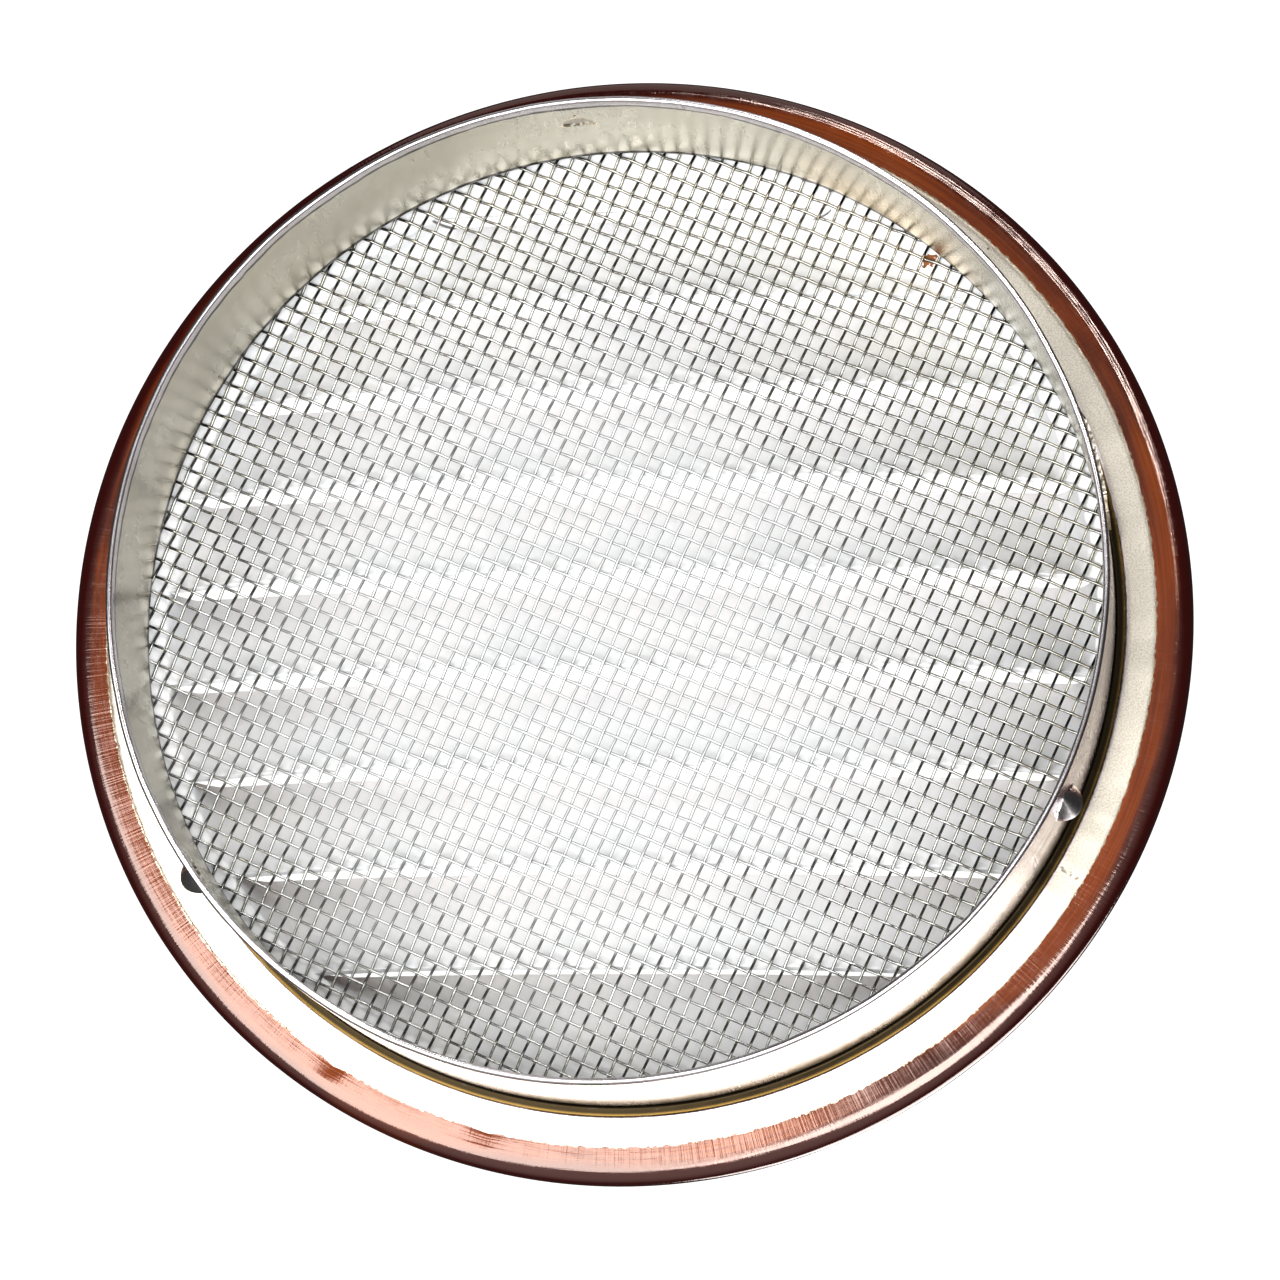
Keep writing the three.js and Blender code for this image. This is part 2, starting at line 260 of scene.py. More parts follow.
def link(name, mesh):
    piece = bpy.data.objects.new(name, mesh)
    bpy.context.scene.collection.objects.link(piece)
    return piece


def smooth_step(low, high, value):
    t = min(1.0, max(0.0, (value - low) / (high - low)))
    return t * t * (3 - 2 * t)


def direction(angle):
    return Vector((math.cos(angle), math.sin(angle), 0.0))


def unevenness(around, waves):
    """Sum of noises, each with its height in millimetres and its frequency."""
    return sum(height * noise.noise(around * frequency) for height, frequency in waves)


# ------------------------------------------------------------------ louvre disc
def half_length(z):
    return math.sqrt(FIELD_RADIUS**2 - z * z)


def slit_z(k):
    return LOWEST_SLIT_Z + k * SLIT_PITCH


def bow(z):
    return EDGE_BOW * (half_length(z) / FIELD_RADIUS) ** 2


def edge_drop(z, u):
    return bow(z) * (1 - abs(u) ** EDGE_FLATNESS)


def column_share(i):
    t = 2 * i / COLUMNS - 1
    return math.copysign(1 - (1 - abs(t)) ** END_CROWDING, t)


def slat_point(k, s, x, z):
    """Middle of the slat above slit k. s runs from its lip, 0, to its upper edge, 1."""
    reach = half_length(z) - abs(x)
    ramp = 1.0 if reach >= END_RAMP else 1 - (1 - reach / END_RAMP) ** 2
    depth = LIP_DEPTH * math.sqrt(half_length(slit_z(k)) / FIELD_RADIUS)
    u = min(1.0, abs(x) / half_length(z))
    upper = edge_drop(slit_z(k + 1), u) if k + 1 < SLIT_COUNT else 0.0
    lip = LIP_BOW_SHARE * bow(slit_z(k)) * (1 - u**LIP_FLATNESS)
    where = Vector((x * RIPPLES_PER_MM, k * RIPPLE_SHIFT, s * RIPPLES_PER_SLAT))
    ripple = SLAT_RIPPLE * noise.noise(where) * math.sin(math.pi * s) * ramp
    y = DISC_MID_Y - depth * ramp * math.cos(s * math.pi / 2) + ripple
    return x, y, z - lip * (1 - s) - upper * s


def rim_section():
    """Middle line of the face and the rim as (radius, y), outwards, forward, round and back."""
    half = SHEET / 2
    reach = RIM_RADIUS - half - RIM_TOP_RADIUS
    section = [((FIELD_RADIUS + FACE_RADIUS) / 2, DISC_MID_Y), (FACE_RADIUS, DISC_MID_Y)]
    for semi, power, side, steps in (
        (RIM_MID_Y - RIM_FRONT_Y - half, 1.0, -1, range(RIM_STEPS, 0, -1)),
        (-RIM_MID_Y - half, 2 / RIM_SQUARENESS, 1, range(RIM_STEPS + 1)),
    ):
        for i in steps:
            angle = (math.pi / 2) * i / RIM_STEPS
            out, along = max(0.0, math.cos(angle)) ** power, math.sin(angle) ** power
            section.append((RIM_TOP_RADIUS + reach * out, RIM_MID_Y + side * semi * along))
    section.append(((RIM_TOP_RADIUS + HEM_EDGE_RADIUS) / 2, -half))
    section.append((HEM_EDGE_RADIUS, -half))
    return section


def hem_offset(angle, share):
    """Unevenness of the turned-over hem, outwards and backwards, at a share of the way to its edge."""
    around = direction(angle)
    out = unevenness(around, HEM_JAG)
    wave = unevenness(around, HEM_WAVE)
    lift = 0.0
    for centre, depth in HEM_DENTS:
        gap = math.remainder(angle - math.radians(centre), math.tau) * HEM_EDGE_RADIUS
        bump = math.exp(-((gap / DENT_WIDTH) ** 2))
        out += DENT_OUT * depth * bump
        lift -= DENT_IN * depth * bump
    return out * share, (wave + lift) * share - HEM_FORWARD


class DiscSheet(Sheet):
    """Middle surface of the louvred disc. circle holds its points on the edge of the louvres' field."""

    def __init__(self):
        super().__init__()
        self.circle = []
        self.tips = [self.tip_pair(slit_z(k)) for k in range(SLIT_COUNT)]

    def on_circle(self, x, z):
        point = self.add(x, DISC_MID_Y, z)
        self.circle.append((math.atan2(z, x), point))
        return point

    def tip_pair(self, z):
        return self.on_circle(-half_length(z), z), self.on_circle(half_length(z), z)

    def slat_row(self, k, s, z, ends):
        inner = [column_share(i) * half_length(z) for i in range(1, COLUMNS)]
        return [ends[0], *(self.add(*slat_point(k, s, x, z)) for x in inner), ends[1]]

    def arc_row(self, k, side):
        """Points on the circle between the tips of slit k, above it for side 1 and below it for side -1."""
        widest = math.asin(half_length(slit_z(k)) / FIELD_RADIUS)
        angles = [column_share(i) * widest for i in range(1, COLUMNS)]
        places = [(FIELD_RADIUS * math.sin(a), side * FIELD_RADIUS * math.cos(a)) for a in angles]
        inner = [self.on_circle(x, z) for x, z in places]
        return [self.tips[k][0], *inner, self.tips[k][1]]

    def add_slat(self, k):
        """Slat between slit k and the next one."""
        lower = self.slat_row(k, 0, slit_z(k), self.tips[k])
        for r in range(1, ROWS + 1):
            z = slit_z(k) + SLIT_PITCH * r / ROWS
            ends = self.tip_pair(z) if r < ROWS else self.tips[k + 1]
            upper = self.slat_row(k, r / ROWS, z, ends)
            self.band(upper, lower)
            lower = upper

    def add_top_slat(self):
        """Last slat, whose upper edge is the circle."""
        top = SLIT_COUNT - 1
        left, right = self.tips[top]
        arc = self.arc_row(top, 1)
        lower = self.slat_row(top, 0, slit_z(top), (left, right))
        for r in range(1, ROWS):
            s = r / ROWS
            upper = [left]
            for i in range(1, COLUMNS):
                end_x, _, end_z = self.points[arc[i]]
                x = (1 - s) * column_share(i) * half_length(slit_z(top)) + s * end_x
                upper.append(self.add(*slat_point(top, s, x, (1 - s) * slit_z(top) + s * end_z)))
            upper.append(right)
            self.band(upper, lower)
            lower = upper
        self.band(arc, lower)

    def add_flat_below(self):
        """Flat sheet between the lowest slit and the circle."""
        z = slit_z(0)
        left, right = self.tips[0]
        shares = [column_share(i) for i in range(1, COLUMNS)]
        inner = [self.add(u * half_length(z), DISC_MID_Y, z - edge_drop(z, u)) for u in shares]
        self.band([left, *inner, right], self.arc_row(0, -1))

    def add_rim(self):
        """Face outside the circle, the rolled rim and the hem."""
        self.circle.sort(reverse=True)
        inner = [point for _, point in self.circle]
        inner.append(inner[0])
        section = rim_section()
        for n, (radius, y) in enumerate(section):
            ring = []
            share = max(0.0, (n - len(section) + HEM_ROWS) / (HEM_ROWS - 1))
            for angle, _ in self.circle:
                out, back = hem_offset(angle, share) if share else (0.0, 0.0)
                point = self.add((radius + out) * math.cos(angle), y + back, (radius + out) * math.sin(angle))
                ring.append(point)
            ring.append(ring[0])
            self.band(ring, inner)
            inner = ring


def make_disc(back, paint, edge):
    sheet = DiscSheet()
    for k in range(SLIT_COUNT - 1):
        sheet.add_slat(k)
    sheet.add_top_slat()
    sheet.add_flat_below()
    sheet.add_rim()
    return sheet.build("louvred_disc", SHEET, back, paint, edge)


# ------------------------------------------------------------------ collar
def skin_radius(y):
    return BASE_SKIN_RADIUS + (REAR_SKIN_RADIUS - BASE_SKIN_RADIUS) * y / COLLAR_TOP_Y


def wall_mid(y):
    return skin_radius(y) - STRIP / 2


def wall_levels(first, last):
    """Heights of the wall's rows, closer together at the barbs and with one row at their mouths."""
    levels = [first]
    while levels[-1] < last:
        y = levels[-1]
        near_barb = BARB_Y - BARB_MARGIN < y + BARB_STEP < BARB_Y + BARB_LENGTH + BARB_MARGIN
        if 0 < BARB_Y - y < WALL_STEP:
            levels.append(BARB_Y)
        else:
            levels.append(y + (BARB_STEP if near_barb else WALL_STEP))
    return levels


def collar_rows():
    """Middle line of the section as (radius, y), from the flange's edge to the folded edge inside."""
    flange_y = FLANGE_FRONT_Y + STRIP / 2 + FLANGE_LIFT
    flat = FLANGE_RADIUS - GROOVE_RADIUS - GROOVE_LIP
    steps = range(FLANGE_STEPS + 1)
    rows = [(FLANGE_RADIUS - flat * i / FLANGE_STEPS, flange_y + GROOVE_DEPTH) for i in steps]
    rows += [(GROOVE_RADIUS + step, flange_y + share * GROOVE_DEPTH) for step, share in GROOVE_SLOPE]

    bend_y = flange_y + BEND_RADIUS
    centre = wall_mid(bend_y) + BEND_RADIUS
    for i in range(BEND_STEPS + 1):
        angle = -math.pi / 2 - (math.pi / 2) * i / BEND_STEPS
        rows.append((centre + BEND_RADIUS * math.cos(angle), bend_y + BEND_RADIUS * math.sin(angle)))

    fold = (FOLD_WIDTH - STRIP) / 2
    fold_y = COLLAR_TOP_Y - fold - STRIP / 2
    rows += [(wall_mid(y), y) for y in wall_levels(bend_y + WALL_START, fold_y - WALL_END)]
    for i in range(FOLD_STEPS + 1):
        angle = math.pi * i / FOLD_STEPS
        rows.append((wall_mid(fold_y) - fold + fold * math.cos(angle), fold_y + fold * math.sin(angle)))
    inside = wall_mid(fold_y) - 2 * fold
    for share in (0.25, 0.5, 0.75, 1.0):
        rows.append((inside + FOLD_LEAN * share**2, fold_y - FOLD_DEPTH * share))
    return rows


def barb_height(angle, y):
    """How far the wall stands out at a barb, behind its mouth."""
    rear = (y - BARB_Y) / BARB_LENGTH
    if not 0 <= rear < 1:
        return 0.0
    for centre in BARB_ANGLES:
        across = math.remainder(angle - centre, math.tau) * BASE_SKIN_RADIUS / BARB_HALF_WIDTH
        width = 1 - rear**BARB_TAPER
        if abs(across) < width:
            return BARB_HEIGHT * (1 - rear) * (1 - (across / width) ** 2) ** BARB_ROUNDNESS
    return 0.0


def collar_angles():
    """Angles round the collar, closer together at the barbs and the seam."""
    step = math.tau / COLLAR_COLUMNS
    angles = {round(i * step, 6) for i in range(COLLAR_COLUMNS)}
    reach = BARB_HALF_WIDTH / BASE_SKIN_RADIUS * BARB_COLUMN_REACH
    for centre in BARB_ANGLES:
        columns = range(-BARB_COLUMNS, BARB_COLUMNS + 1)
        angles |= {round((centre + reach * t / BARB_COLUMNS) % math.tau, 6) for t in columns}
    for centre in (SEAM_ANGLE, LAP_END_ANGLE):
        angles |= {round((centre + math.radians(t)) % math.tau, 6) for t in SEAM_COLUMNS}
    return sorted(angles, reverse=True)


def wall_offset(angle, y):
    """Unevenness of the hand-bent wall, and the joggle where one end of the strip steps over the other."""
    around = Vector((math.cos(angle), math.sin(angle), y * WALL_WAVE_DRIFT))
    wave = unevenness(around, WALL_WAVE) * smooth_step(*WALL_WAVE_FADE, y)
    past = math.degrees(math.remainder(LAP_END_ANGLE - angle, math.tau))
    joggle = JOGGLE * (1 - smooth_step(*JOGGLE_RAMP, past)) if past > 0 else 0.0
    beside_lap = smooth_step(*JOGGLE_START, y) * (1 - smooth_step(*JOGGLE_END, y))
    return wave + joggle * beside_lap


def collar_painted_shade(radius, y, lift, folded_in):
    """Painted shade on the strip: in the groove, a little on the barbs, and under the fold."""
    if folded_in:
        return FOLD_SHADE * smooth_step(*FOLD_SHADE_FADE, COLLAR_TOP_Y - y)
    in_groove = (1 - smooth_step(*GROOVE_SHADE_FADE, radius)) * (1 - smooth_step(*FLANGE_SHADE_FADE, y))
    return in_groove + BARB_SHADE * smooth_step(*BARB_SHADE_FADE, lift / BARB_HEIGHT)


def collar_point(sheet, radius, y, angle, lift=0.0):
    """Adds the point at radius and y of the even section. lift is a barb's height there."""
    around = direction(angle)
    folded_in = smooth_step(*FOLD_INSET, wall_mid(y) - radius)
    painted_shade = collar_painted_shade(radius, y, lift, folded_in)
    if y > FLANGE_FRONT_Y + FLANGE_ZONE:
        y_shift = unevenness(around, [REAR_SWAY]) * smooth_step(*REAR_SWAY_FADE, y)
        radius += wall_offset(angle, y)
    else:
        height, frequency = FLANGE_BUCKLE
        y_shift = height * noise.noise(around * frequency + Vector((0, 0, radius * 0.2)))
    if folded_in:
        y_shift += unevenness(around, FOLD_RAGS) * smooth_step(*FOLD_RAG_FADE, COLLAR_TOP_Y - y)
        share, frequency = FOLD_PRESS_NOISE
        tightness = 0.5 + share * noise.noise(around * frequency + Vector((4.0, 0, 0)))
        radius += folded_in * (FOLD_PRESS * tightness + unevenness(around, [FOLD_WRINKLE]))
    radius += lift
    return sheet.add(radius * math.cos(angle), y + y_shift, radius * math.sin(angle), painted_shade)


def make_collar(outside, inside, edge):
    sheet = Sheet()
    angles = collar_angles()
    below = None
    for radius, y in collar_rows():
        on_wall = abs(radius - wall_mid(y)) < NEAR
        is_mouth = on_wall and y == BARB_Y
        lifted, flat = [], []
        for angle in angles:
            height = barb_height(angle, y) if on_wall else 0.0
            point = collar_point(sheet, radius, y, angle, height)
            lifted.append(point)
            opens = is_mouth and height > MOUTH_LEAST
            flat.append(collar_point(sheet, radius, y, angle) if opens else point)
        for row in (lifted, flat):
            row.append(row[0])
        if below:
            sheet.band(below, flat)
        below = lifted
    return sheet.build("vent_collar", STRIP, outside, inside, edge)


def make_lap(outside, inside, edge):
    """Outer end of the strip, lapped over the inner end."""
    sheet = Sheet()
    length = LAP_ANGLE * LAP_REACH
    columns = [SEAM_ANGLE - length * i / LAP_COLUMNS for i in range(LAP_COLUMNS + 1)]
    below = None
    for i in range(LAP_ROWS + 1):
        y = LAP_FROM_Y + (LAP_TO_Y - LAP_FROM_Y) * i / LAP_ROWS
        row = []
        for angle in columns:
            start = smooth_step(0, LAP_RAMP, math.degrees(angle - (SEAM_ANGLE - length)))
            radius = wall_mid(y) + LAP_GAP + (LAP_STEP - LAP_GAP) * start
            if start > 0.5:
                radius += wall_offset(angle, y)
            row.append(sheet.add(radius * math.cos(angle), y, radius * math.sin(angle)))
        if below:
            sheet.band(below, row)
        below = row
    return sheet.build("collar_lap", STRIP, outside, inside, edge)


# ------------------------------------------------------------------ insect screen
def wire_bounds(offset, crossing_pitch):
    """First and last step along a wire that lies offset from the cloth's middle."""
    half = math.sqrt(max(0.0, (SCREEN_RADIUS - CLOTH_MARGIN) ** 2 - offset**2))
    return math.ceil(-half / crossing_pitch * WIRE_STEPS), math.floor(half / crossing_pitch * WIRE_STEPS)


def wire_faces(base, count):
    """Sides and ends of a wire whose points start at base, count to each of its lengthwise lines."""
    faces = []
    for j in range(WIRE_SIDES):
        here = base + j * count
        there = base + ((j + 1) % WIRE_SIDES) * count
        faces += [[here + i, there + i, there + i + 1, here + i + 1] for i in range(count - 1)]
    faces.append([base + j * count for j in range(WIRE_SIDES - 1, -1, -1)])
    faces.append([base + j * count + count - 1 for j in range(WIRE_SIDES)])
    return faces


def woven_family(name, pitch, crossing_pitch, spacing_angle, phase_shift, material):
    """Every wire of one direction, waved over and under the wires of the other direction."""
    spacing = np.array([math.cos(spacing_angle), 0, math.sin(spacing_angle)])
    along = np.array([-math.sin(spacing_angle), 0, math.cos(spacing_angle)])
    up = np.array([0.0, 1.0, 0.0])
    sides = [2 * math.pi * (j + 0.5) / WIRE_SIDES for j in range(WIRE_SIDES)]
    vertices, faces, base = [], [], 0
    reach = int((SCREEN_RADIUS - CLOTH_MARGIN) / pitch)
    wander = random.Random(name)
    for n in range(-reach, reach + 1):
        offset = n * pitch
        first, last = wire_bounds(offset, crossing_pitch)
        if last - first < WIRE_STEPS:
            continue
        t = np.arange(first, last + 1) * crossing_pitch / WIRE_STEPS
        sign = 1 if (n + phase_shift) % 2 else -1
        wave = sign * WIRE_RADIUS * np.cos(math.pi * t / crossing_pitch)
        slope = -sign * WIRE_RADIUS * math.pi / crossing_pitch * np.sin(math.pi * t / crossing_pitch)
        drift = WIRE_BEND * np.sin(t * wander.uniform(0.03, 0.09) + wander.uniform(0, 6))
        drift += wander.uniform(-WIRE_SHIFT, WIRE_SHIFT)
        centre = (
            spacing[None] * (offset + drift[:, None])
            + along[None] * t[:, None]
            + up[None] * (SCREEN_Y + wave[:, None])
        )
        lean = np.sqrt(1 + slope**2)[:, None]
        normal = (up[None] - along[None] * slope[:, None]) / lean
        for angle in sides:
            aside = spacing[None] * math.cos(angle) + normal * math.sin(angle)
            vertices.append(centre + WIRE_RADIUS * aside)
        faces += wire_faces(base, len(t))
        base += WIRE_SIDES * len(t)
    mesh = bpy.data.meshes.new(name)
    mesh.from_pydata((np.vstack(vertices) * MM).tolist(), [], faces)
    mesh.materials.append(material)
    finish_mesh(mesh)
    return link(name, mesh)


# ------------------------------------------------------------------ materials
FLAKE = (29.8, 0.0, -35.6)  # middle of a brown spot on the back of a slat
WARM_REFLECTION_ANGLE = math.radians(-55)  # where the collar's wall has a warm painted reflection
WARM_REFLECTION_DIRECTION = (math.cos(WARM_REFLECTION_ANGLE), 0.0, math.sin(WARM_REFLECTION_ANGLE))
ALONG_CLOSE = (-math.sin(CLOTH_ANGLE), 0.0, math.cos(CLOTH_ANGLE))
BACKWARDS = (0.0, 1.0, 0.0)


def rgb(red, green, blue):
    return (red, green, blue, 1.0)


PAINT_DARK = rgb(0.032, 0.0006, 0.0001)
PAINT_WARM = rgb(0.165, 0.028, 0.0002)
PAINT_STREAK = rgb(0.26, 0.058, 0.0004)
PAINT_FACE_DARK = rgb(0.105, 0.017, 0.0004)
PAINT_FACE_LIGHT = rgb(0.125, 0.022, 0.0005)
PAINT_CHIP = rgb(0.80, 0.66, 0.48)
BACK_COOL = rgb(0.90, 0.91, 0.92)
BACK_WHITE = rgb(0.96, 0.96, 0.955)
BACK_EDGE = rgb(0.84, 0.85, 0.86)
FLAKE_BROWN = rgb(0.22, 0.07, 0.004)
BARE_DARK = rgb(0.42, 0.36, 0.27)
BARE_LIGHT = rgb(0.93, 0.91, 0.86)
# The inside is a darker, warmer copy of the outside's mill aluminium: painted shade within the collar.
INSIDE_DULL = rgb(0.60, 0.56, 0.46)
INSIDE_BRIGHT = rgb(0.72, 0.69, 0.60)
OUTSIDE_DULL = rgb(0.66, 0.62, 0.63)
OUTSIDE_BRIGHT = rgb(0.76, 0.72, 0.74)
FLANGE_METAL = rgb(0.86, 0.81, 0.71)
STRIP_EDGE = rgb(0.60, 0.56, 0.48)
STRIP_GRAIN = rgb(0.34, 0.28, 0.20)
# Warm tint of the painted reflection on the inner wall.
STRIP_WARM_REFLECTION = rgb(0.80, 0.60, 0.34)
# Dark colour of the dirt specks, and of the painted shade in the flange's creases.
STRIP_DIRT_AND_SHADE = rgb(0.12, 0.09, 0.05)
# Colours of the painted shade on the collar.
SHADE_BLACK = rgb(0.022, 0.014, 0.003)
GROOVE_GILT = rgb(0.20, 0.13, 0.035)
# Painted shade on the wires: the core darker towards the collar, dark flanks, and WIRE_SHADE on slopes facing
# away from the light.
CLOSE_SHADE_NEAR_COLLAR = rgb(0.20, 0.19, 0.16)
WIDE_SHADE_NEAR_COLLAR = rgb(0.36, 0.35, 0.31)
WIRE_CENTRE = rgb(0.64, 0.65, 0.65)
WIRE_GREY = rgb(0.50, 0.49, 0.45)
WIRE_SHADE = rgb(0.07, 0.065, 0.055)
WIRE_FLANK_SHADE_PALE = rgb(0.16, 0.165, 0.165)
WIRE_FLANK_SHADE_DARK = rgb(0.04, 0.042, 0.04)


class Material:
    """Short way to write a node material. Its coordinates are in millimetres."""

    def __init__(self, name):
        self.data = bpy.data.materials.new(name)
        self.data.use_nodes = True
        self.tree = self.data.node_tree
        self.shader = self.tree.nodes["Principled BSDF"]
        position = self.add("ShaderNodeTexCoord").outputs["Object"]
        self.position = self.vector("SCALE", position, scale=1 / MM)
        flat = self.vector("MULTIPLY", self.position, (1, 0, 1))
        self.unit = self.vector("NORMALIZE", flat)
        self.radius = self.vector("LENGTH", flat, output="Value")
        self.height = self.split(self.position, "Y")

    def add(self, kind, **settings):
        node = self.tree.nodes.new(kind)
        for key, value in settings.items():
            setattr(node, key, value)
        return node

    def put(self, socket, value):
        if isinstance(value, bpy.types.NodeSocket):
            self.tree.links.new(value, socket)
        else:
            socket.default_value = value

    def set(self, name, value):
        self.put(self.shader.inputs[name], value)

    def vector(self, operation, a, b=None, scale=None, output="Vector"):
        node = self.add("ShaderNodeVectorMath", operation=operation)
        self.put(node.inputs[0], a)
        if b is not None:
            self.put(node.inputs[1], b)
        if scale is not None:
            self.put(node.inputs["Scale"], scale)
        return node.outputs[output]

    def split(self, vector, axis):
        node = self.add("ShaderNodeSeparateXYZ")
        self.put(node.inputs[0], vector)
        return node.outputs[axis]

    def math(self, operation, a, b):
        node = self.add("ShaderNodeMath", operation=operation)
        self.put(node.inputs[0], a)
        self.put(node.inputs[1], b)
        return node.outputs[0]

    def range(self, value, low, high, to_low=0.0, to_high=1.0):
        node = self.add("ShaderNodeMapRange", interpolation_type="SMOOTHSTEP")
        for key, number in (("From Min", low), ("From Max", high), ("To Min", to_low), ("To Max", to_high)):
            node.inputs[key].default_value = number
        self.put(node.inputs["Value"], value)
        return node.outputs[0]

    def noise(self, vector, scale, detail=3.0, rough=0.5, w=None):
        node = self.add("ShaderNodeTexNoise", noise_dimensions="3D" if w is None else "4D")
        self.put(node.inputs["Vector"], vector)
        self.put(node.inputs["Scale"], scale)
        self.put(node.inputs["Detail"], detail)
        self.put(node.inputs["Roughness"], rough)
        if w is not None:
            self.put(node.inputs["W"], w)
        return node.outputs[0]

    def ring_noise(self, around, across, detail=3.0):
        """Noise in ring coordinates: around is features per radian, across is features per millimetre."""
        turned = self.vector("SCALE", self.unit, scale=around)
        out = self.math("MULTIPLY", self.math("ADD", self.radius, self.height), across)
        return self.noise(turned, 1.0, detail, w=out)

    def around(self, scale, detail=3.0, rough=0.5):
        """Noise that only changes round the axis, with scale features per radian."""
        return self.noise(self.vector("SCALE", self.unit, scale=scale), 1.0, detail, rough)

    def mix(self, factor, a, b):
        node = self.add("ShaderNodeMix", data_type="RGBA")
        self.put(node.inputs["Factor"], factor)
        self.put(node.inputs[6], a)
        self.put(node.inputs[7], b)
        return node.outputs[2]

    def bump(self, height, strength, distance_mm, below=None):
        node = self.add("ShaderNodeBump")
        node.inputs["Strength"].default_value = strength
        node.inputs["Distance"].default_value = distance_mm * MM
        self.put(node.inputs["Height"], height)
        if below is not None:
            self.put(node.inputs["Normal"], below)
        return node.outputs[0]


def paint_material():
    """Brown enamel, streaky round the rim and worn through in chips along the hem's edge."""
    m = Material("brown_enamel")
    on_rim = m.range(m.radius, FACE_RADIUS, HEM_EDGE_RADIUS)
    # Painted shade: across darkens the rim's tone towards its outer round.
    across = m.range(m.radius, 52.6, 54.4, 0.12, -0.16)
    tone = m.range(m.math("ADD", m.ring_noise(1.6, 0.12), across), 0.38, 0.66)
    streaks = m.range(m.ring_noise(2.5, 3.2, 4.0), 0.42, 0.66)
    rim = m.mix(tone, PAINT_DARK, PAINT_WARM)
    rim = m.mix(m.math("MULTIPLY", m.math("MULTIPLY", streaks, tone), 0.6), rim, PAINT_STREAK)
    cloud = m.range(m.noise(m.position, 0.06, 3.0), 0.35, 0.65)
    paint = m.mix(on_rim, m.mix(cloud, PAINT_FACE_DARK, PAINT_FACE_LIGHT), rim)

    edge = m.range(m.radius, HEM_EDGE_RADIUS, HEM_EDGE_RADIUS + 0.55, 0.5, -0.5)
    chips = m.math("ADD", edge, m.math("SUBTRACT", m.ring_noise(90.0, 2.0, 4.0), 0.5))
    chips = m.math("MULTIPLY", m.range(chips, 0.42, 0.48), m.range(m.height, -0.7, -0.4))
    m.set("Base Color", m.mix(chips, paint, PAINT_CHIP))
    m.set("Metallic", m.math("MULTIPLY", chips, 0.9))
    gloss = m.math("ADD", m.range(m.ring_noise(40.0, 2.0), 0.3, 0.7, 0.0, 0.09), 0.08)
    m.set("Roughness", m.math("ADD", gloss, m.range(on_rim, 0.0, 1.0, 0.10, 0.0)))
    m.set("IOR", 1.7)
    m.set("Specular IOR Level", 1.0)
    m.set("Specular Tint", rgb(1.0, 0.80, 0.72))

    peel = m.noise(m.position, 0.9, 2.0)
    brushed = m.math("MULTIPLY", m.ring_noise(6.0, 3.5, 3.0), on_rim)
    nicks = m.math("MULTIPLY", m.around(210.0), on_rim)
    m.set("Normal", m.bump(peel, 0.2, 0.05, m.bump(brushed, 0.55, 0.04, m.bump(nicks, 0.6, 0.03))))
    return m.data


def back_skin_material():
    """Pale back of the louvre disc, streaked along the slats, with one brown spot."""
    m = Material("pale_back")
    streak = m.add("ShaderNodeCombineXYZ")
    m.put(streak.inputs["X"], m.math("MULTIPLY", m.split(m.position, "X"), 0.05))
    m.put(streak.inputs["Y"], m.math("MULTIPLY", m.split(m.position, "Z"), 1.6))
    drawn = m.noise(streak.outputs[0], 1.0, 4.0)
    blotch = m.noise(m.position, 0.12, 3.0)
    clean = m.mix(m.range(blotch, 0.35, 0.7), BACK_COOL, BACK_WHITE)
    gap = m.vector("MULTIPLY", m.vector("SUBTRACT", m.position, FLAKE), (1.0, 0.0, 1.5))
    gap = m.vector("LENGTH", gap, output="Value")
    gap = m.math("ADD", gap, m.range(m.noise(m.position, 2.2, 3.0), 0.3, 0.7, -0.4, 0.4))
    m.set("Base Color", m.mix(m.range(gap, 0.75, 0.95, 1.0, 0.0), clean, FLAKE_BROWN))
    m.set("Roughness", m.range(drawn, 0.3, 0.7, 0.42, 0.58))
    m.set("Normal", m.bump(drawn, 0.2, 0.02))
    return m.data


def cut_edge_material(name, inner):
    """Sheared edge: bare metal outside the louvres' field, the plain colour inner within it."""
    m = Material(name)
    fleck = m.noise(m.position, 3.0, 3.0)
    bare = m.mix(m.range(fleck, 0.4, 0.65), BARE_DARK, BARE_LIGHT)
    outside = m.range(m.radius, FIELD_RADIUS + 0.2, FIELD_RADIUS + 0.5)
    m.set("Base Color", m.mix(outside, inner, bare))
    m.set("Metallic", outside)
    m.set("Roughness", m.range(fleck, 0.3, 0.7, 0.25, 0.5))
    m.set("Normal", m.bump(fleck, 0.4, 0.05))
    return m.data


def strip_metal(m, smear, grain, on_flange, dull, bright, warm_reflection_share):
    """Colour of the clean strip: cloudy wall, warmer flange, fine grain and one warm painted reflection."""
    metal = m.mix(m.range(smear, 0.3, 0.7), dull, bright)
    metal = m.mix(on_flange, metal, FLANGE_METAL)
    grained = m.range(on_flange, 0.0, 1.0, 0.12, 0.42)
    grained = m.math("MULTIPLY", m.range(grain, 0.35, 0.6, 1.0, 0.0), grained)
    metal = m.mix(grained, metal, STRIP_GRAIN)
    # A warm painted reflection on the wall near -55 degrees, fading upwards.
    toward = m.vector("DOT_PRODUCT", m.unit, WARM_REFLECTION_DIRECTION, output="Value")
    warm_reflection = m.range(toward, 0.955, 1.0, 0.0, warm_reflection_share)
    warm_reflection = m.math("MULTIPLY", warm_reflection, m.range(m.height, 1.0, 14.0, 1.0, 0.15))
    return m.mix(warm_reflection, metal, STRIP_WARM_REFLECTION)


